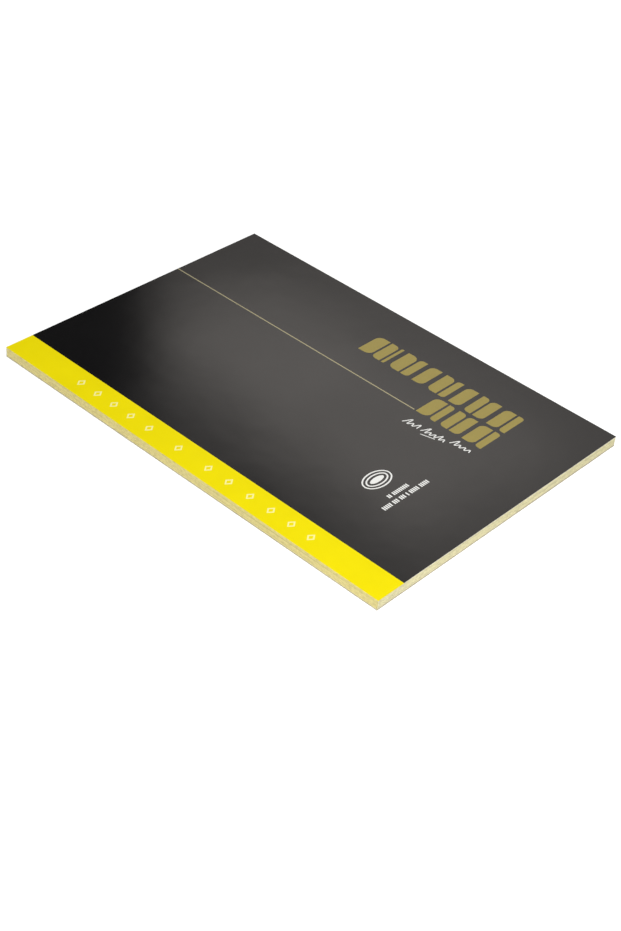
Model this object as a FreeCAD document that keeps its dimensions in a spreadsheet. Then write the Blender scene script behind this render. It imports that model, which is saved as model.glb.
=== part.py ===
"""A head-bound writing pad of 80 ruled A4 sheets, lying on its backing board with the cover closed.

The pad is four pieces. A stiff grey backing board lies at the bottom. The leaves are stacked on it as one block that
was cut on the two long edges and the tail, where each leaf lies back a hair differently. A film of dried padding
glue on the head edge holds the board and the leaves together, and its upper lip carries the head edge of the printed
card cover, which turns up and over about that edge.

Frame, in millimetres: +Z is up through the pad, +Y points to the glued head edge, +X to the right as the cover is
read, and the origin is the middle of the underside.
"""
import FreeCAD
import Part
import Sketcher
import math
import os

SIZES = {
    "sheet_width": 210.0,       # A4, across the pad
    "sheet_length": 297.0,      # A4, from the tail to the head
    "sheet_count": 80,
    "sheet_thickness": 0.0725,  # ruled paper of about 60 g per square metre
    "leaves_per_lift": 8,       # leaves that were picked up and knocked square together
    "lift_jog": 0.16,           # the most that a lift of leaves lies back from the cut edge
    "leaf_jog": 0.05,           # the most that one leaf lies back within its lift
    "board_thickness": 0.85,
    "cover_thickness": 0.35,
    "glue_thickness": 0.5,
    "glue_round": 0.28,         # radius where the film thins out, above and below
}

# Leaf by leaf, the set-backs step round a circle by this share of a turn, which spreads them with no repeat.
GOLDEN_STEP = (math.sqrt(5.0) - 1.0) / 2.0
LEFT_START = 0.13
RIGHT_START = 0.41
TAIL_START = 0.77

# Places that several pieces share, written over the sizes: y of the tail and of the leaves' head, and the height
# of the block's top.
TAIL = "-(Sizes.sheet_length + Sizes.glue_thickness) / 2"
HEAD = "(Sizes.sheet_length - Sizes.glue_thickness) / 2"
BLOCK_TOP = "Sizes.board_thickness + Sizes.sheet_count * Sizes.sheet_thickness"


def make_sizes(doc):
    """The driving dimensions, one named cell each."""
    sizes = doc.addObject("Spreadsheet::Sheet", "Sizes")
    for row, (name, value) in enumerate(SIZES.items(), start=1):
        sizes.set(f"A{row}", name)
        sizes.set(f"B{row}", str(value))
        sizes.setAlias(f"B{row}", name)
    doc.recompute()
    return sizes


def constrain(sketch, kind, *geometry):
    """A geometric constraint."""
    sketch.addConstraint(Sketcher.Constraint(kind, *geometry))


def dimension(sketch, name, size, kind, *geometry):
    """A named dimension that follows an expression over the sizes."""
    index = sketch.addConstraint(Sketcher.Constraint(kind, *geometry, 1.0))
    sketch.renameConstraint(index, name)
    sketch.setExpression("Constraints." + name, size)


def make_slab(doc, name, length, thickness, tail, underside):
    """A flat piece as wide as the sheets and square at every corner, placed by its tail edge and its underside."""
    body = doc.addObject("PartDesign::Body", name)
    body.Label = name
    outline = body.newObject("Sketcher::SketchObject", name + "_outline")
    ground = next(plane for plane in body.Origin.OriginFeatures if plane.Role == "XY_Plane")
    outline.AttachmentSupport = (ground, "")
    outline.MapMode = "FlatFace"
    outline.setExpression("AttachmentOffset.Base.y", tail)
    outline.setExpression("AttachmentOffset.Base.z", underside)
    corners = [FreeCAD.Vector(x, y, 0) for x, y in ((-1, 0), (1, 0), (1, 1), (-1, 1))]
    for start, end in zip(corners, corners[1:] + corners[:1]):
        outline.addGeometry(Part.LineSegment(start, end), False)
    near, right, far, left = range(4)
    for side, following in ((near, right), (right, far), (far, left), (left, near)):
        constrain(outline, "Coincident", side, 2, following, 1)
    constrain(outline, "PointOnObject", near, 1, -1)
    constrain(outline, "Symmetric", near, 1, near, 2, -2)
    constrain(outline, "Vertical", right)
    constrain(outline, "Vertical", left)
    constrain(outline, "Horizontal", far)
    dimension(outline, "width", "Sizes.sheet_width", "DistanceX", near, 1, near, 2)
    dimension(outline, "length", length, "DistanceY", right, 1, right, 2)
    outline.Visibility = False
    slab = body.newObject("PartDesign::Pad", name + "_slab")
    slab.Profile = outline
    slab.setExpression("Length", thickness)
    return body


def make_head_binding(doc):
    """The glue film against the leaves' head edge, with its outer face rounded off to a lip above and below."""
    body = make_slab(doc, "head_binding", "Sizes.glue_thickness", BLOCK_TOP, HEAD, "0 mm")
    doc.recompute()
    film = body.Tip
    outside = film.Shape.BoundBox.YMax
    outer_edges = [
        f"Edge{number}" for number, edge in enumerate(film.Shape.Edges, start=1)
        if math.isclose(edge.BoundBox.YMin, outside, abs_tol=1e-3)
        and edge.BoundBox.XLength > edge.BoundBox.ZLength
    ]
    lips = body.newObject("PartDesign::Fillet", "film_lips")
    lips.Base = (film, outer_edges)
    lips.setExpression("Radius", "Sizes.glue_round")
    return body


def set_back(sizes, leaf, start):
    """How far one leaf lies back from the cut edge: its lift's share, and a hair of its own."""
    lift = leaf // round(sizes.leaves_per_lift)
    lift_share = (start + lift * GOLDEN_STEP) % 1.0
    leaf_share = (start + leaf * GOLDEN_STEP) % 1.0
    return sizes.lift_jog * lift_share + sizes.leaf_jog * leaf_share


def stepped_edge(sizes, edge, inward, start):
    """One cut edge of the block seen end on, from the board upwards, as (across, height) corners."""
    corners = []
    for leaf in range(round(sizes.sheet_count)):
        across = edge + inward * set_back(sizes, leaf, start)
        for level in (leaf, leaf + 1):
            corners.append((across, sizes.board_thickness + level * sizes.sheet_thickness))
    return corners


def run_profile(doc, name, corners, direction, length):
    """A closed profile drawn through corners and run straight across the pad."""
    profile = doc.addObject("Part::Polygon", name + "_profile")
    profile.Nodes = corners
    profile.Close = True
    profile.Visibility = False
    run = doc.addObject("Part::Extrusion", name)
    run.Base = profile
    run.DirMode = "Custom"
    run.Dir = direction
    run.Solid = True
    run.setExpression("LengthFwd", length)
    return run


def make_sheet_block(doc, sizes):
    """The leaves as one solid: what the block's profile from the tail and its profile from the left share."""
    left = -sizes.sheet_width / 2.0
    tail = -(sizes.sheet_length + sizes.glue_thickness) / 2.0
    head = tail + sizes.sheet_length
    foot = sizes.board_thickness
    top = foot + round(sizes.sheet_count) * sizes.sheet_thickness
    left_steps = stepped_edge(sizes, left, 1.0, LEFT_START)
    right_steps = stepped_edge(sizes, -left, -1.0, RIGHT_START)
    tail_steps = stepped_edge(sizes, tail, 1.0, TAIL_START)
    seen_from_tail = [FreeCAD.Vector(x, tail, z) for x, z in left_steps + right_steps[::-1]]
    seen_from_left = [FreeCAD.Vector(left, y, z) for y, z in tail_steps + [(head, top), (head, foot)]]
    block = doc.addObject("Part::Common", "sheet_block")
    block.Label = "sheet_block"
    block.Base = run_profile(doc, "leaves_along", seen_from_tail, FreeCAD.Vector(0, 1, 0), "Sizes.sheet_length")
    block.Tool = run_profile(doc, "leaves_across", seen_from_left, FreeCAD.Vector(1, 0, 0), "Sizes.sheet_width")
    return block


def check_document(doc, pieces):
    """Stops on a failed object, or on a piece that is not one valid solid."""
    for thing in doc.Objects:
        if "Invalid" in thing.State or "Error" in thing.State:
            raise RuntimeError(f"{thing.Label} failed: {thing.State}")
    for piece in pieces:
        if piece.Shape.isNull() or not piece.Shape.isValid() or len(piece.Shape.Solids) != 1:
            raise RuntimeError(f"{piece.Label} is not one valid solid")


def write_pieces(pieces):
    """One STEP file a piece, named by its label."""
    os.makedirs("parts", exist_ok=True)
    for piece in pieces:
        piece.Shape.exportStep(os.path.join("parts", piece.Label + ".step"))
        box = piece.Shape.BoundBox
        print(f"{piece.Label}: {piece.Shape.Volume:.1f} mm3, {len(piece.Shape.Faces)} faces,",
              f"x {box.XMin:.3f} to {box.XMax:.3f}, y {box.YMin:.3f} to {box.YMax:.3f},",
              f"z {box.ZMin:.3f} to {box.ZMax:.3f}")


doc = FreeCAD.newDocument("writing_pad")
sizes = make_sizes(doc)
board = make_slab(doc, "backing_board", "Sizes.sheet_length", "Sizes.board_thickness", TAIL, "0 mm")
block = make_sheet_block(doc, sizes)
binding = make_head_binding(doc)
cover_length = "Sizes.sheet_length + Sizes.glue_thickness - Sizes.glue_round"
cover = make_slab(doc, "front_cover", cover_length, "Sizes.cover_thickness", TAIL, BLOCK_TOP)
doc.recompute()
pieces = [board, block, binding, cover]
check_document(doc, pieces)
write_pieces(pieces)
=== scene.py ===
import math

import bpy
from mathutils import Matrix, Vector, noise
from mathutils.geometry import delaunay_2d_cdt


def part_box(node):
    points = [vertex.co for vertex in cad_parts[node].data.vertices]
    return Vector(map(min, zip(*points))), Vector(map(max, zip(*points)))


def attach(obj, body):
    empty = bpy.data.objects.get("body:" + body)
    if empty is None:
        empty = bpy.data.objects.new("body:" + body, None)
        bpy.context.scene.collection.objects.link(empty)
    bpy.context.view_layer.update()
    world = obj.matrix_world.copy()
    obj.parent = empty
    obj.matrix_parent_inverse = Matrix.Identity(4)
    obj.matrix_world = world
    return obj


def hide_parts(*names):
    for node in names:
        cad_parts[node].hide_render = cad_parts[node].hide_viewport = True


# Looks of a head-bound writing pad: a satin black card cover with a yellow band, cream leaves, a
# grey-brown board and a white glue edge. Metres throughout, in the model's frame: +Z up, +Y to the
# bound head, +X to the cover's right. Printed shapes are placed by X from the cover's left edge and
# Y from its tail, in millimetres.

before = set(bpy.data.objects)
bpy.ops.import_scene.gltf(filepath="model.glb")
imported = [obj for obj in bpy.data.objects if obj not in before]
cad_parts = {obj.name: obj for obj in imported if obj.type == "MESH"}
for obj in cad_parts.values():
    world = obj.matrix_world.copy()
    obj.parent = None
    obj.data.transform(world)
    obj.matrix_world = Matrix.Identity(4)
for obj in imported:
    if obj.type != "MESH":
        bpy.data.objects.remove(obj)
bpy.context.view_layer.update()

MM = 0.001


def plain_box(node):
    """A node's lowest and highest corner as vectors."""
    low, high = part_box(node)
    return Vector(low), Vector(high)


COVER_LOW, COVER_HIGH = plain_box("front_cover")
LEAVES_LOW, LEAVES_HIGH = plain_box("sheet_block")
BOARD_LOW, BOARD_HIGH = plain_box("backing_board")
GLUE_LOW, GLUE_HIGH = plain_box("head_binding")


# Materials

class Nodes:
    """A material's node tree, with short calls for the nodes that the finishes share."""

    def __init__(self, name):
        self.material = bpy.data.materials.new(name)
        self.material.use_nodes = True
        self.tree = self.material.node_tree
        self.shader = self.tree.nodes["Principled BSDF"]
        self.place = self.add("ShaderNodeTexCoord").outputs["Object"]

    def add(self, kind, **settings):
        node = self.tree.nodes.new(kind)
        for key, value in settings.items():
            setattr(node, key, value)
        return node

    def link(self, output, socket):
        self.tree.links.new(output, socket)

    def noise(self, scale, stretch=(1, 1, 1), detail=3.0):
        """Noise between 0 and 1, with scale lumps a metre along each axis times its stretch."""
        mapping = self.add("ShaderNodeMapping")
        mapping.inputs["Scale"].default_value = stretch
        self.link(self.place, mapping.inputs["Vector"])
        texture = self.add("ShaderNodeTexNoise")
        texture.inputs["Scale"].default_value = scale
        texture.inputs["Detail"].default_value = detail
        self.link(mapping.outputs["Vector"], texture.inputs["Vector"])
        return texture.outputs["Fac"]

    def span(self, value, low, high, from_low=0.3, from_high=0.7, blend="LINEAR"):
        """The value carried from one range to another, and held at its ends."""
        node = self.add("ShaderNodeMapRange", interpolation_type=blend)
        node.inputs["From Min"].default_value = from_low
        node.inputs["From Max"].default_value = from_high
        node.inputs["To Min"].default_value = low
        node.inputs["To Max"].default_value = high
        self.link(value, node.inputs["Value"])
        return node.outputs["Result"]

    def maths(self, operation, first, second):
        """The result of two values, of which the second may be a number."""
        node = self.add("ShaderNodeMath", operation=operation)
        self.link(first, node.inputs[0])
        if isinstance(second, float):
            node.inputs[1].default_value = second
        else:
            self.link(second, node.inputs[1])
        return node.outputs["Value"]

    def mix(self, share, first, second):
        """A colour between two, each a colour or another node's output."""
        node = self.add("ShaderNodeMix", data_type="RGBA")
        self.link(share, node.inputs["Factor"])
        for key, colour in (("A", first), ("B", second)):
            socket = next(s for s in node.inputs if s.name == key and s.type == "RGBA")
            if isinstance(colour, tuple):
                socket.default_value = (*colour, 1.0)
            else:
                self.link(colour, socket)
        return next(s for s in node.outputs if s.type == "RGBA")

    def colour(self, output):
        self.link(output, self.shader.inputs["Base Color"])

    def roughness(self, output):
        self.link(output, self.shader.inputs["Roughness"])

    def bump(self, height, distance, strength=1.0):
        """A bump of at most that height in metres; later bumps lie on earlier ones."""
        node = self.add("ShaderNodeBump")
        node.inputs["Distance"].default_value = distance
        node.inputs["Strength"].default_value = strength
        self.link(height, node.inputs["Height"])
        normal = self.shader.inputs["Normal"]
        if normal.is_linked:
            self.link(normal.links[0].from_socket, node.inputs["Normal"])
        self.link(node.outputs["Normal"], normal)


def tinted(colour, factor):
    """A colour made lighter or darker."""
    return tuple(min(1.0, channel * factor) for channel in colour)


def laminated_print(name, colour, gloss, metal=0.0, shine=0.5):
    """Ink under a satin film: nearly even colour, faint handling haze and the card's fine tooth."""
    nodes = Nodes(name)
    nodes.colour(nodes.mix(nodes.noise(60.0), tinted(colour, 0.94), tinted(colour, 1.04)))
    haze = nodes.noise(14.0, detail=5.0)
    nodes.roughness(nodes.span(haze, gloss, gloss + 0.05))
    nodes.shader.inputs["Metallic"].default_value = metal
    nodes.shader.inputs["Specular IOR Level"].default_value = shine
    nodes.bump(nodes.noise(26.0, detail=2.0), 0.00025, 0.5)
    nodes.bump(nodes.noise(900.0, detail=2.0), 0.000006, 0.6)
    return nodes.material


def bare_card(name, dark, light):
    """The card where no film covers it: the cover's inner side and its cut edges."""
    nodes = Nodes(name)
    fibres = nodes.noise(700.0, detail=6.0)
    nodes.colour(nodes.mix(fibres, dark, light))
    nodes.shader.inputs["Roughness"].default_value = 0.8
    nodes.bump(fibres, 0.00002, 0.7)
    return nodes.material


def leaf_edges(name, dark, light):
    """The cut leaves seen edge on, on cream paper: fine streaks along the edge a leaf thick, and darker ones
    a lift thick that are painted shade of the steps between lifts.
    """
    nodes = Nodes(name)
    single_leaves = nodes.noise(1.0, (35.0, 35.0, 9000.0), detail=2.0)
    lift_step_shade = nodes.noise(1.0, (7.0, 7.0, 3400.0), detail=2.0)
    blade_marks = nodes.noise(1.0, (420.0, 420.0, 700.0), detail=3.0)
    cream = nodes.mix(single_leaves, dark, light)
    cut = nodes.mix(nodes.span(blade_marks, 0.0, 0.6, 0.45, 0.68), cream, tinted(dark, 0.8))
    # The darker streaks a lift thick are painted shade, standing for the shadow lines at the small steps
    # between lifts.
    nodes.colour(nodes.mix(nodes.span(lift_step_shade, 0.0, 0.8, 0.55, 0.66), cut, tinted(dark, 0.62)))
    nodes.shader.inputs["Roughness"].default_value = 0.9
    nodes.bump(single_leaves, 0.00005, 0.6)
    return nodes.material


def leaf_face(name, light, dark):
    """The flat of a leaf, or a line printed on it: uncoated paper with a faint cloudy formation."""
    nodes = Nodes(name)
    formation = nodes.noise(450.0, detail=6.0)
    nodes.colour(nodes.mix(formation, dark, light))
    nodes.shader.inputs["Roughness"].default_value = 0.88
    nodes.bump(formation, 0.000012, 0.6)
    return nodes.material


def chipboard():
    """Grey-brown board made of waste paper, with dark flecks and pale fibres."""
    nodes = Nodes("grey_chipboard")
    cloudy = nodes.noise(90.0, detail=6.0)
    base = nodes.mix(nodes.span(cloudy, 0.0, 1.0), (0.41, 0.355, 0.25), (0.50, 0.445, 0.325))
    flecks = nodes.noise(1400.0, (1.0, 2.2, 1.0), detail=4.0)
    darker = nodes.mix(nodes.span(flecks, 0.0, 0.6, 0.60, 0.70), base, (0.20, 0.17, 0.13))
    threads = nodes.noise(520.0, (3.0, 0.6, 6.0), detail=4.0)
    nodes.colour(nodes.mix(nodes.span(threads, 0.0, 0.6, 0.60, 0.72), darker, (0.70, 0.65, 0.53)))
    nodes.shader.inputs["Roughness"].default_value = 0.92
    nodes.bump(flecks, 0.00004, 0.6)
    return nodes.material


def dried_glue():
    """White padding glue: slightly glossy, a little translucent, with brush streaks along the head."""
    nodes = Nodes("white_padding_glue")
    brushed = nodes.noise(1.0, (26.0, 300.0, 1500.0), detail=4.0)
    thickness = nodes.span(brushed, 0.0, 1.0, 0.36, 0.62)
    nodes.colour(nodes.mix(thickness, (0.72, 0.70, 0.62), (0.90, 0.90, 0.89)))
    nodes.roughness(nodes.span(brushed, 0.32, 0.55))
    nodes.shader.inputs["Subsurface Weight"].default_value = 0.15
    nodes.shader.inputs["Subsurface Radius"].default_value = (0.0006, 0.0006, 0.0005)
    nodes.bump(brushed, 0.00012, 0.8)
    nodes.bump(nodes.noise(420.0, detail=3.0), 0.00003, 0.6)
    return nodes.material


# Printed shapes, as outlines in millimetres

BAND_WIDTH = 20.0

# The diamonds in the yellow band: their X, the Y of each, and half their sides, outside and inside.
BAND_MARK_X = 10.2
BAND_MARKS = (240.8, 226.4, 212.4, 198.0, 182.6, 158.4, 134.4, 118.4, 102.0, 86.2, 71.0, 56.6)
BAND_MARK_HALF = (3.3, 2.5)
BAND_HOLE_HALF = (1.9, 1.4)

# The gold rule: the X of its two sides and the Y of its foot. It runs on to the head edge.
RULE_X = (139.4, 140.2)
RULE_FOOT = 95.4

# The rows of gold tiles: the X of their two sides, the Y of the head end, the tile widths in each
# group, and the gap between groups. A tile's two round corners have this share of its width as radius.
LONG_ROW = ((9.0, 6.5, 2.0), (8.5, 5.5), (8.0,), (7.5, 4.5), (8.0,), (5.5, 7.0), (7.5, 4.5))
SHORT_ROW = ((8.5, 4.5), (6.0, 6.5), (8.0, 4.6))
TILE_ROWS = (
    (161.8, 182.0, 159.6, LONG_ROW, 3.5),
    (139.5, 159.2, 94.0, SHORT_ROW, 3.0),
)
TILE_SLIT = 1.5
TILE_ROUNDING = 0.5
TILE_ARC_STEPS = 7

# The pen waves: the X of the foot, the Y of the start, the length towards the tail, and each crest's
# rise. The slant is a share of the rise, and the climb a share of the length.
PEN_WAVES = (
    (125.6, 92.6, 10.6, (5.6, 2.8, 4.4)),
    (126.7, 79.6, 16.0, (5.8, 2.6, 2.8, 4.6, 2.4)),
    (130.5, 61.0, 13.6, (5.4, 2.6, 2.6, 2.4)),
)
PEN_THICKNESS = 0.7
PEN_SLANT = 0.3
PEN_CLIMB = 0.085
PEN_STEPS = 14
UNDERLINE = ((124.1, 77.4), (126.6, 68.6))
UNDERLINE_THICKNESS = 0.6

# The emblem's middle, and its ovals from the outside in: half of each along X and Y, and its ink.
EMBLEM_MIDDLE = (73.5, 66.0)
EMBLEM_OVALS = (
    (10.6, 6.6, "white"),
    (9.7, 5.7, "black"),
    (8.2, 4.4, "white"),
    (7.2, 3.5, "black"),
    (5.4, 2.0, "white"),
)

# The lines of ticks: the X of the start, the Y of foot and top, and how many ticks each group has.
TICK_LINES = (
    (66.5, 50.4, 53.1, (2, 9)),
    (56.7, 45.1, 48.0, (5, 3, 3, 1, 5, 5)),
)
TICK_WIDTH = 0.93
TICK_SPACE = 0.5
GROUP_SPACE = 1.3


def counter_clockwise(outline):
    """The outline in the turning sense that the cover's division needs."""
    sides = zip(outline, outline[1:] + outline[:1])
    doubled_area = sum(here[0] * after[1] - after[0] * here[1] for here, after in sides)
    return outline if doubled_area > 0 else outline[::-1]


def rectangle(x_low, x_high, y_low, y_high):
    return [(x_low, y_low), (x_high, y_low), (x_high, y_high), (x_low, y_high)]


def ellipse(centre, half_x, half_y, points=48):
    turns = [2 * math.pi * n / points for n in range(points)]
    return [(centre[0] + half_x * math.cos(t), centre[1] + half_y * math.sin(t)) for t in turns]


def diamond(centre, half_x, half_y):
    x, y = centre
    return [(x - half_x, y), (x, y - half_y), (x + half_x, y), (x, y + half_y)]


def leaf_tile(x_low, x_high, y_low, y_high, radius, first):
    """A rectangle with two opposite corners rounded: the first and third, or the second and fourth."""
    corners = [
        (x_low, y_low, 1, 1),
        (x_high, y_low, -1, 1),
        (x_high, y_high, -1, -1),
        (x_low, y_high, 1, -1),
    ]
    outline = []
    for number, (x, y, inward_x, inward_y) in enumerate(corners):
        if (number % 2 == 0) != first:
            outline.append((x, y))
            continue
        middle_x = x + inward_x * radius
        middle_y = y + inward_y * radius
        for step in range(TILE_ARC_STEPS + 1):
            turn = math.pi * (1 + number / 2 + step / (2 * TILE_ARC_STEPS))
            outline.append((middle_x + radius * math.cos(turn), middle_y + radius * math.sin(turn)))
    return outline


def tile_row(x_low, x_high, y_start, groups, gap):
    """Groups of tiles in a row that runs from the head end towards the tail, with slits between tiles."""
    outlines = []
    for number, widths in enumerate(groups):
        first = number % 2 == 0
        for width in widths:
            outlines.append(leaf_tile(x_low, x_high, y_start - width, y_start, TILE_ROUNDING * width, first))
            y_start -= width + TILE_SLIT
            first = not first
        y_start -= gap - TILE_SLIT
    return outlines


def ribbon(line, thickness):
    """The outline of a pen stroke along a line of points."""
    left = []
    right = []
    for before, here, after in zip([line[0]] + line[:-1], line, line[1:] + [line[-1]]):
        along = (after - before).normalized()
        side = Vector((-along.y, along.x)) * thickness / 2
        left.append(tuple(here + side))
        right.append(tuple(here - side))
    return left + right[::-1]


def scribble(foot, y_start, length, rises):
    """A slanting pen wave towards the tail, with a crest for each of the rises."""
    waves = len(rises)
    line = []
    for n in range(waves * PEN_STEPS + 1):
        share = n / (waves * PEN_STEPS)
        rise = rises[min(int(share * waves), waves - 1)]
        lift = rise * (0.5 - 0.5 * math.cos(2 * math.pi * waves * share))
        x = foot + lift + PEN_CLIMB * share * length
        y = y_start - share * length - PEN_SLANT * lift
        line.append(Vector((x, y)))
    return ribbon(line, PEN_THICKNESS)


def tick_line(x_start, y_low, y_high, groups):
    """Short upright ticks in a row along X, grouped like a small line of print."""
    outlines = []
    for count in groups:
        for _ in range(count):
            outlines.append(rectangle(x_start, x_start + TICK_WIDTH, y_low, y_high))
            x_start += TICK_WIDTH + TICK_SPACE
        x_start += GROUP_SPACE
    return outlines


def printed_shapes(length):
    """The cover's print from the bottom layer up, as (material name, outline)."""
    shapes = [("yellow", rectangle(0.0, BAND_WIDTH, 0.0, length))]
    shapes.append(("pale_gold", rectangle(*RULE_X, RULE_FOOT, length)))
    for row in TILE_ROWS:
        shapes += [("gold", outline) for outline in tile_row(*row)]
    for wave in PEN_WAVES:
        shapes.append(("white", scribble(*wave)))
    shapes.append(("white", ribbon([Vector(point) for point in UNDERLINE], UNDERLINE_THICKNESS)))
    for half_x, half_y, ink in EMBLEM_OVALS:
        shapes.append((ink, ellipse(EMBLEM_MIDDLE, half_x, half_y)))
    for line in TICK_LINES:
        shapes += [("white", outline) for outline in tick_line(*line)]
    for y in BAND_MARKS:
        shapes.append(("pale", diamond((BAND_MARK_X, y), *BAND_MARK_HALF)))
        shapes.append(("yellow", diamond((BAND_MARK_X, y), *BAND_HOLE_HALF)))
    return shapes


# Meshes

# How the cover's top is divided: into triangles over its whole outline, merging points nearer than this.
WHOLE_OUTLINE = 0
MERGE_DISTANCE = 1e-5

# The leaves: their number, the points along a leaf's sides, and how far back from the cut they lie in
# millimetres: at most so much by lift, so much by leaf, and a mean wander along the edge.
LEAF_COUNT = 80
LEAVES_PER_LIFT = 8
LEAF_ACROSS = 12
LEAF_LENGTHWISE = 18
LIFT_JOG = 0.16
LEAF_JOG = 0.05
LEAF_WANDER = 0.06

# Where in a turn the set-backs start, what each further side and leaf adds, and the wander's lumps.
GOLDEN_STEP = (math.sqrt(5.0) - 1.0) / 2.0
LIFT_START = 0.13
LIFT_SIDE_STEP = 0.29
LEAF_SIDE_STEP = 0.37
WANDER_ALONG = 3.1
WANDER_BY_SIDE = 7.7
WANDER_BY_LIFT = 0.9

# The top leaf in millimetres: its ruling, and how far it lies back on three sides.
HEADING_SPACE = 32.0
FOOT_SPACE = 14.0
LINE_SPACING = 8.0
FEINT_HALF = 0.15
BORDER_X = (26.0, 27.6)
BORDER_HALF = 0.17
TOP_LEAF_LEFT = 0.08
TOP_LEAF_RIGHT = 0.11
TOP_LEAF_TAIL = 0.09

# The board: points along its sides, steps round its crushed edge, that edge's depth, and its wander.
BOARD_COLUMNS = 42
BOARD_ROWS = 60
BOARD_EDGE_STEPS = 4
BOARD_EDGE_DEPTH = 0.12 * MM
BOARD_WANDER = 0.1 * MM
BOARD_WANDER_SCALE = 260.0
BOARD_WANDER_RISE = 0.002

# The glue film: steps round each lip, rows up the skin, columns along the head, how far the upper lip
# stays clear of the cover, and its brush marks: their mean depth, and how many there are a metre along
# and up, with the noise's layer.
GLUE_LIP_STEPS = 4
GLUE_ROWS = 16
GLUE_COLUMNS = 150
GLUE_CLEARANCE = 0.02 * MM
GLUE_SINK = 0.07 * MM
GLUE_COARSE_MARKS = (70.0, 240.0, 3.0)
GLUE_FINE_MARKS = (300.0, 900.0, 5.0)
GLUE_FINE_SHARE = 0.5


def new_piece(name, vertices, faces, materials, face_materials=None, smooth=False):
    """A mesh object from plain lists."""
    mesh = bpy.data.meshes.new(name)
    mesh.from_pydata([tuple(v) for v in vertices], [], faces)
    for material in materials:
        mesh.materials.append(material)
    if face_materials:
        mesh.polygons.foreach_set("material_index", face_materials)
    mesh.polygons.foreach_set("use_smooth", [smooth] * len(mesh.polygons))
    mesh.validate()
    mesh.update()
    piece = bpy.data.objects.new(name, mesh)
    bpy.context.scene.collection.objects.link(piece)
    return piece


def printed_slab(low, high, shapes, inks, underside, cut_edges):
    """A closed flat slab whose top face is divided into printed fields.

    The last shape over a spot gives its ink. The cut edge has the ink "cut", or what cut_edges gives
    for the field above it.
    """
    width = (high.x - low.x) / MM
    length = (high.y - low.y) / MM
    outlines = [("ground", rectangle(0.0, width, 0.0, length))] + shapes
    points = []
    loops = []
    for _, outline in outlines:
        loops.append(list(range(len(points), len(points) + len(outline))))
        points += [Vector(corner) for corner in counter_clockwise(outline)]
    division = delaunay_2d_cdt(points, [], loops, WHOLE_OUTLINE, MERGE_DISTANCE)
    flat, _, triangles, _, _, sources = division
    slot_of = {ink: number for number, ink in enumerate(inks)}
    top = [(low.x + p.x * MM, low.y + p.y * MM, high.z) for p in flat]
    foot = [(x, y, low.z) for x, y, _ in top]
    faces = []
    slots = []
    sides = {}
    for triangle, source in zip(triangles, sources):
        ink = outlines[max(source)][0]
        faces.append(tuple(triangle))
        slots.append(slot_of[ink])
        faces.append(tuple(len(top) + corner for corner in reversed(triangle)))
        slots.append(slot_of[underside])
        for side in zip(triangle, triangle[1:] + triangle[:1]):
            sides[side] = ink
    for (start, end), ink in sides.items():
        if (end, start) not in sides:
            faces.append((end, start, len(top) + start, len(top) + end))
            slots.append(slot_of[cut_edges.get(ink, "cut")])
    return top + foot, faces, slots


def make_cover(inks):
    """The cover card: printed outside, bare inside, with a pale cut edge."""
    length = (COVER_HIGH.y - COVER_LOW.y) / MM
    names = ["ground", "yellow", "gold", "pale_gold", "white", "black", "pale"]
    names += ["inside", "cut", "band_cut"]
    vertices, faces, slots = printed_slab(
        COVER_LOW, COVER_HIGH, printed_shapes(length), names, "inside", {"yellow": "band_cut"})
    materials = [inks["black"]] + [inks[name] for name in names[1:]]
    return new_piece("cover_card", vertices, faces, materials, slots)


def loft_faces(rings, around, turned=False):
    """The side faces between rings of points and the two end faces; turned, all face the other way."""
    faces = []
    for ring in range(rings - 1):
        for n in range(around):
            here = ring * around + n
            after = ring * around + (n + 1) % around
            if turned:
                faces.append((here, here + around, after + around, after))
            else:
                faces.append((here, after, after + around, here + around))
    first = range(around)
    last = range((rings - 1) * around, rings * around)
    faces.append(tuple(first) if turned else tuple(reversed(first)))
    faces.append(tuple(reversed(last)) if turned else tuple(last))
    return faces


def set_back(leaf, side, along):
    """How far a leaf lies back from the cut edge, at a share of the way along one of its sides."""
    lift = leaf // LEAVES_PER_LIFT
    step = LIFT_JOG * ((LIFT_START + LIFT_SIDE_STEP * side + lift * GOLDEN_STEP) % 1.0)
    hair = LEAF_JOG * ((LEAF_SIDE_STEP * side + leaf * GOLDEN_STEP) % 1.0)
    place = Vector((WANDER_ALONG * along, WANDER_BY_SIDE * side, WANDER_BY_LIFT * lift))
    wander = LEAF_WANDER * (1 + noise.noise(place))
    return (step + hair + wander) * MM


def leaf_ring(leaf, low, high):
    """A leaf's outline: the tail edge, the right edge, the straight head and the left edge."""
    ring = [(n / LEAF_ACROSS, 0.0) for n in range(LEAF_ACROSS)]
    ring += [(1.0, n / LEAF_LENGTHWISE) for n in range(LEAF_LENGTHWISE)]
    ring += [(1.0, 1.0), (0.0, 1.0)]
    ring += [(0.0, 1.0 - n / LEAF_LENGTHWISE) for n in range(1, LEAF_LENGTHWISE)]
    points = []
    for share_x, share_y in ring:
        left = low.x + set_back(leaf, 0, share_y)
        right = high.x - set_back(leaf, 1, share_y)
        tail = low.y + set_back(leaf, 2, share_x)
        points.append((left + (right - left) * share_x, tail + (high.y - tail) * share_y))
    return points


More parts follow.
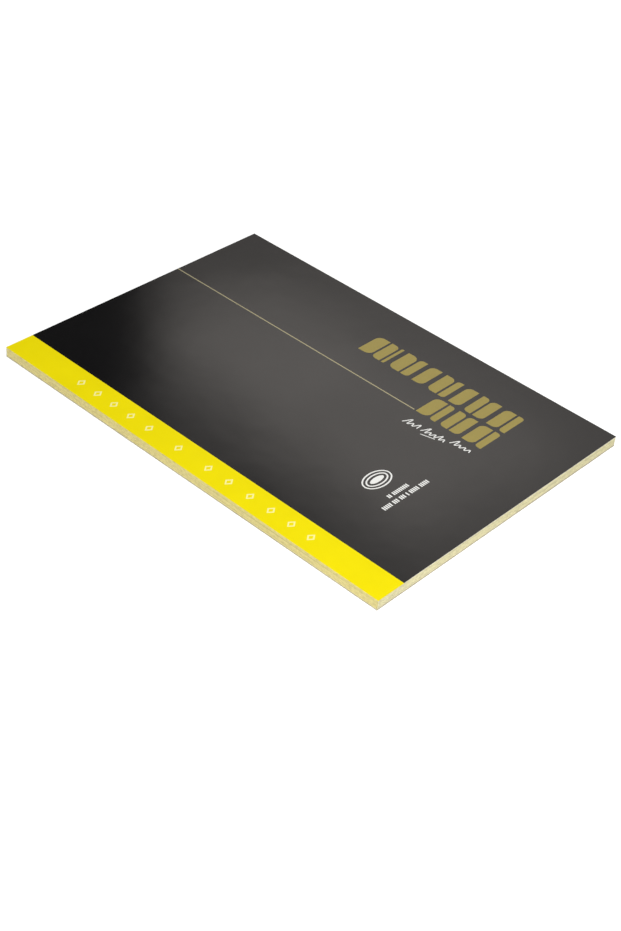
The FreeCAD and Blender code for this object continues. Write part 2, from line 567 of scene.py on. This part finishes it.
def make_leaves(left_material, tail_material, face_material):
    """All leaves but the top one, lofted from the board up as one closed stepped block.

    The right side looks as the tail does.
    """
    low = Vector((COVER_LOW.x, COVER_LOW.y, LEAVES_LOW.z))
    high = Vector((COVER_HIGH.x, LEAVES_HIGH.y, LEAVES_HIGH.z))
    thickness = (high.z - low.z) / LEAF_COUNT
    vertices = []
    for leaf in range(LEAF_COUNT - 1):
        outline = leaf_ring(leaf, low, high)
        for level in (leaf, leaf + 1):
            vertices += [(x, y, low.z + level * thickness) for x, y in outline]
    around = len(outline)
    rings = len(vertices) // around
    tail_and_right = LEAF_ACROSS + LEAF_LENGTHWISE
    slots = [1 if n < tail_and_right else 0 for n in range(around)] * (rings - 1) + [2, 2]
    materials = [left_material, tail_material, face_material]
    return new_piece("leaf_block", vertices, loft_faces(rings, around), materials, slots)


def ruled_shapes(width, length):
    """The top leaf's ruling: feint lines under a heading space, and a double border line at the left."""
    shapes = []
    y = length - HEADING_SPACE
    while y > FOOT_SPACE:
        shapes.append(("feint", rectangle(0.0, width, y - FEINT_HALF, y + FEINT_HALF)))
        y -= LINE_SPACING
    for x in BORDER_X:
        shapes.append(("border", rectangle(x - BORDER_HALF, x + BORDER_HALF, 0.0, length)))
    return shapes


def make_top_leaf(materials):
    """The ruled leaf under the cover."""
    low = LEAVES_LOW.copy()
    high = LEAVES_HIGH.copy()
    low.z = high.z - (high.z - low.z) / LEAF_COUNT
    low.x += TOP_LEAF_LEFT * MM
    high.x -= TOP_LEAF_RIGHT * MM
    low.y += TOP_LEAF_TAIL * MM
    shapes = ruled_shapes((high.x - low.x) / MM, (high.y - low.y) / MM)
    names = ["ground", "feint", "border", "cut"]
    vertices, faces, slots = printed_slab(low, high, shapes, names, "ground", {})
    return new_piece("top_leaf", vertices, faces, materials, slots)


def make_board(material):
    """The board, with slightly crushed edges that wander a hair along their length."""
    low = BOARD_LOW
    high = BOARD_HIGH
    profile = []
    for step in range(BOARD_EDGE_STEPS + 1):
        angle = math.pi * (step / BOARD_EDGE_STEPS - 0.5)
        profile.append((BOARD_EDGE_DEPTH * (1 - math.cos(angle)), math.sin(angle)))
    around = [(n / BOARD_COLUMNS, 0.0) for n in range(BOARD_COLUMNS)]
    around += [(1.0, n / BOARD_ROWS) for n in range(BOARD_ROWS)]
    around += [(1 - n / BOARD_COLUMNS, 1.0) for n in range(BOARD_COLUMNS)]
    around += [(0.0, 1 - n / BOARD_ROWS) for n in range(BOARD_ROWS)]
    middle = (low.z + high.z) / 2
    half = (high.z - low.z) / 2
    vertices = []
    for inset, height in profile:
        for share_x, share_y in around:
            x = low.x + (high.x - low.x) * share_x
            y = low.y + (high.y - low.y) * share_y
            place = Vector((x, y, height * BOARD_WANDER_RISE)) * BOARD_WANDER_SCALE
            back = inset + BOARD_WANDER * (1 + noise.noise(place)) / 2
            inward_x = (share_x == 0) - (share_x == 1)
            inward_y = (share_y == 0) - (share_y == 1)
            vertices.append((x + inward_x * back, y + inward_y * back, middle + half * height))
    return new_piece("chipboard_back", vertices, loft_faces(len(profile), len(around)), [material])


def brush_mark(x, up, marks):
    """Noise at a place on the glue's skin, with so many marks a metre along and up, in its own layer."""
    along, upward, layer = marks
    return noise.noise(Vector((x * along, up * upward, layer)))


def make_glue(material):
    """The glue film: flat against the leaves, with a brushed skin that thins to a lip above and below."""
    thickness = GLUE_HIGH.y - GLUE_LOW.y
    height = GLUE_HIGH.z - GLUE_LOW.z
    lip = COVER_HIGH.y - GLUE_LOW.y
    round_off = thickness - lip
    lower_lip = [(0.0, 0.0), (lip, 0.0)]
    for step in range(1, GLUE_LIP_STEPS + 1):
        angle = math.pi / 2 * step / GLUE_LIP_STEPS
        lower_lip.append((lip + round_off * math.sin(angle), round_off * (1 - math.cos(angle))))
    section = list(lower_lip)
    for step in range(1, GLUE_ROWS):
        section.append((thickness, round_off + (height - 2 * round_off) * step / GLUE_ROWS))
    for out, up in reversed(lower_lip):
        clearance = GLUE_CLEARANCE if out else 0.0
        section.append((out, height - up - clearance))
    vertices = []
    for column in range(GLUE_COLUMNS + 1):
        x = GLUE_LOW.x + (GLUE_HIGH.x - GLUE_LOW.x) * column / GLUE_COLUMNS
        for out, up in section:
            fine = GLUE_FINE_SHARE * brush_mark(x, up, GLUE_FINE_MARKS)
            lump = brush_mark(x, up, GLUE_COARSE_MARKS) + fine
            share = max(0.0, out - lip) / round_off
            sink = GLUE_SINK * (1 + lump) * share
            vertices.append((x, GLUE_LOW.y + out - sink, GLUE_LOW.z + up))
    faces = loft_faces(GLUE_COLUMNS + 1, len(section), turned=True)
    return new_piece("glue_film", vertices, faces, [material], smooth=True)


# Stage

WORLD_LIGHT = 0.25
FLOOR_HALF = 6.0
FLOOR_LEVEL = -0.0001

# The light of its own that the floor shows to the camera, near the pad and far off, and from and to
# which distance in metres it rises.
FLOOR_LIFT_NEAR = 0.37
FLOOR_LIFT_FAR = 1.0
FLOOR_LIFT_START = 0.15
FLOOR_LIFT_END = 0.75

# The studio wall beyond the head, which the cover's sheen shows: its place, its left, right, foot and
# top in metres, its tint and full brightness, and its soft boundaries. Each has its direction on the
# wall in degrees above level, where it starts and ends along that in metres, and the brightness before.
WALL_AZIMUTH = math.radians(46.0)
WALL_DISTANCE = 1.3
WALL_TINT = (1.05, 0.985, 0.93)
WALL_BOX = (-0.8, 1.4, 0.3, 1.8)
WALL_BRIGHTNESS = 1.18
WALL_BOUNDARIES = (
    (-0.8, -0.151, -0.050, 0.03),
    (-48.0, -0.785, -0.661, 0.27),
    (117.4, 0.617, 0.686, 0.61),
    (75.5, 0.695, 0.792, 0.38),
    (-124.3, -1.241, -1.122, 0.65),
)

KEY_PLACE = Vector((-0.55, -0.55, 0.8))
KEY_SIZE = (1.0, 0.8)
KEY_POWER = 13.6
FILL_PLACE = Vector((0.9, 0.95, 0.27))
FILL_SIZE = (0.9, 0.4)
FILL_POWER = 7.0

CAMERA_AIM = Vector((-0.0503, -0.04985, 0.007))
CAMERA_DISTANCE = 0.92983
CAMERA_AZIMUTH = math.radians(50.208)
CAMERA_ELEVATION = math.radians(37.916)
CAMERA_ROLL = math.radians(5.707)
CAMERA_LENS = 64.72
CAMERA_SENSOR = 36.0


def make_floor():
    """A large pale floor that shows white to the camera where no shadow falls."""
    half = FLOOR_HALF
    corners = [(-half, -half), (half, -half), (half, half), (-half, half)]
    floor = new_piece("floor", [(x, y, FLOOR_LEVEL) for x, y in corners], [(0, 1, 2, 3)], [])
    nodes = Nodes("pale_floor")
    nodes.shader.inputs["Base Color"].default_value = (0.8, 0.8, 0.8, 1.0)
    nodes.shader.inputs["Roughness"].default_value = 0.95
    nodes.shader.inputs["Specular IOR Level"].default_value = 0.0
    reach = nodes.add("ShaderNodeVectorMath", operation="LENGTH")
    nodes.link(nodes.place, reach.inputs[0])
    lift = nodes.span(
        reach.outputs["Value"], FLOOR_LIFT_NEAR, FLOOR_LIFT_FAR, FLOOR_LIFT_START, FLOOR_LIFT_END)
    seen = nodes.add("ShaderNodeLightPath").outputs["Is Camera Ray"]
    nodes.shader.inputs["Emission Color"].default_value = (1.0, 1.0, 1.0, 1.0)
    nodes.link(nodes.maths("MULTIPLY", lift, seen), nodes.shader.inputs["Emission Strength"])
    floor.data.materials.append(nodes.material)


def make_wall():
    """The softly lit studio wall beyond the head, which only reflections show."""
    right = Vector((math.sin(WALL_AZIMUTH), -math.cos(WALL_AZIMUTH), 0.0))
    up = Vector((0.0, 0.0, 1.0))
    inward = right.cross(up)
    left_end, right_end, foot, top = WALL_BOX
    corners = [(left_end, foot, 0), (right_end, foot, 0), (right_end, top, 0), (left_end, top, 0)]
    wall = new_piece("studio_wall", corners, [(0, 1, 2, 3)], [])
    facing = Matrix((right, up, inward)).transposed().to_4x4()
    wall.matrix_world = Matrix.Translation(-inward * WALL_DISTANCE) @ facing
    nodes = Nodes("studio_wall")
    nodes.shader.inputs["Base Color"].default_value = (0.0, 0.0, 0.0, 1.0)
    nodes.shader.inputs["Specular IOR Level"].default_value = 0.0
    brightness = None
    for degrees, start, end, before in WALL_BOUNDARIES:
        turn = math.radians(degrees)
        along = nodes.add("ShaderNodeVectorMath", operation="DOT_PRODUCT")
        nodes.link(nodes.place, along.inputs[0])
        along.inputs[1].default_value = (math.cos(turn), math.sin(turn), 0.0)
        level = nodes.span(along.outputs["Value"], before, WALL_BRIGHTNESS, start, end, "SMOOTHSTEP")
        brightness = nodes.maths("MINIMUM", level, brightness) if brightness else level
    nodes.shader.inputs["Emission Color"].default_value = (*WALL_TINT, 1.0)
    nodes.link(brightness, nodes.shader.inputs["Emission Strength"])
    wall.data.materials.append(nodes.material)
    wall.visible_camera = False
    wall.visible_diffuse = False
    wall.visible_transmission = False
    wall.visible_shadow = False


def make_world():
    """Soft light all round; white to the camera and in reflections."""
    world = bpy.data.worlds.new("soft_white")
    bpy.context.scene.world = world
    world.use_nodes = True
    tree = world.node_tree
    background = tree.nodes["Background"]
    background.inputs["Color"].default_value = (1.0, 1.0, 1.0, 1.0)
    path = tree.nodes.new("ShaderNodeLightPath")
    seen = path.outputs["Is Camera Ray"]
    for name in ("Is Glossy Ray", "Is Transmission Ray"):
        either = tree.nodes.new("ShaderNodeMath")
        either.operation = "MAXIMUM"
        tree.links.new(seen, either.inputs[0])
        tree.links.new(path.outputs[name], either.inputs[1])
        seen = either.outputs["Value"]
    level = tree.nodes.new("ShaderNodeMapRange")
    level.inputs["To Min"].default_value = WORLD_LIGHT
    level.inputs["To Max"].default_value = 1.0
    tree.links.new(seen, level.inputs["Value"])
    tree.links.new(level.outputs["Result"], background.inputs["Strength"])


def make_lamp(name, place, size, power):
    """A large soft lamp that points at the pad."""
    data = bpy.data.lights.new(name, "AREA")
    data.shape = "RECTANGLE"
    data.size, data.size_y = size
    data.energy = power
    lamp = bpy.data.objects.new(name, data)
    lamp.location = place
    lamp.rotation_mode = "QUATERNION"
    lamp.rotation_quaternion = (-place).to_track_quat("-Z", "Y")
    lamp.visible_camera = False
    bpy.context.scene.collection.objects.link(lamp)
    return lamp


def make_lamps():
    """A key lamp on the camera's side, and a low weak fill behind the head that shows no highlight."""
    make_lamp("key", KEY_PLACE, KEY_SIZE, KEY_POWER)
    fill = make_lamp("fill", FILL_PLACE, FILL_SIZE, FILL_POWER)
    fill.visible_glossy = False


def make_camera():
    """The photograph's view: turned from +Y towards +X, looking down, and rolled a little."""
    forward = Vector((
        math.sin(CAMERA_AZIMUTH) * math.cos(CAMERA_ELEVATION),
        math.cos(CAMERA_AZIMUTH) * math.cos(CAMERA_ELEVATION),
        -math.sin(CAMERA_ELEVATION)))
    level_right = forward.cross(Vector((0, 0, 1))).normalized()
    level_up = level_right.cross(forward)
    right = level_right * math.cos(CAMERA_ROLL) + level_up * math.sin(CAMERA_ROLL)
    up = right.cross(forward)
    data = bpy.data.cameras.new("camera")
    data.lens = CAMERA_LENS
    data.sensor_width = CAMERA_SENSOR
    camera = bpy.data.objects.new("camera", data)
    facing = Matrix((right, up, -forward)).transposed().to_4x4()
    camera.matrix_world = Matrix.Translation(CAMERA_AIM - forward * CAMERA_DISTANCE) @ facing
    bpy.context.scene.collection.objects.link(camera)
    bpy.context.scene.camera = camera


# The pad

inks = {
    "black": laminated_print("black_satin_print", (0.0045, 0.0045, 0.005), gloss=0.12, shine=0.65),
    "yellow": laminated_print("yellow_print", (0.86, 0.725, 0.001), gloss=0.3, shine=0.04),
    "gold": laminated_print("gold_print", (0.385, 0.31, 0.08), gloss=0.3, metal=0.35),
    "pale_gold": laminated_print("pale_gold_rule", (0.47, 0.42, 0.25), gloss=0.3, metal=0.35),
    "white": laminated_print("white_print", (0.86, 0.86, 0.83), gloss=0.3, shine=0.2),
    "pale": laminated_print("pale_band_print", (0.93, 0.89, 0.34), gloss=0.3, shine=0.1),
    "inside": bare_card("cover_inside", (0.77, 0.74, 0.64), (0.88, 0.86, 0.78)),
    "cut": bare_card("cover_cut_edge", (0.77, 0.74, 0.64), (0.88, 0.86, 0.78)),
    "band_cut": bare_card("band_cut_edge", (0.74, 0.64, 0.10), (0.84, 0.74, 0.20)),
}
left_edges = leaf_edges("cream_left_edges", (0.74, 0.65, 0.28), (0.81, 0.73, 0.34))
tail_edges = leaf_edges("cream_tail_edges", (0.76, 0.71, 0.44), (0.84, 0.79, 0.53))
cream_face = leaf_face("cream_leaf", (0.83, 0.77, 0.50), (0.79, 0.72, 0.45))
ruling = [
    cream_face,
    leaf_face("feint_ruling", (0.40, 0.50, 0.56), (0.33, 0.43, 0.50)),
    leaf_face("border_ruling", (0.62, 0.22, 0.20), (0.55, 0.17, 0.16)),
    left_edges,
]

cover = make_cover(inks)
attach(cover, "cover")
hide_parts("front_cover")

leaves = make_leaves(left_edges, tail_edges, cream_face)
top_leaf = make_top_leaf(ruling)
for piece in (leaves, top_leaf):
    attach(piece, "pad")
    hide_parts("sheet_block")

board = make_board(chipboard())
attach(board, "pad")
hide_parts("backing_board")

glue = make_glue(dried_glue())
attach(glue, "pad")
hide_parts("head_binding")

make_floor()
make_wall()
make_world()
make_lamps()
make_camera()
bpy.context.scene.view_settings.view_transform = "Standard"
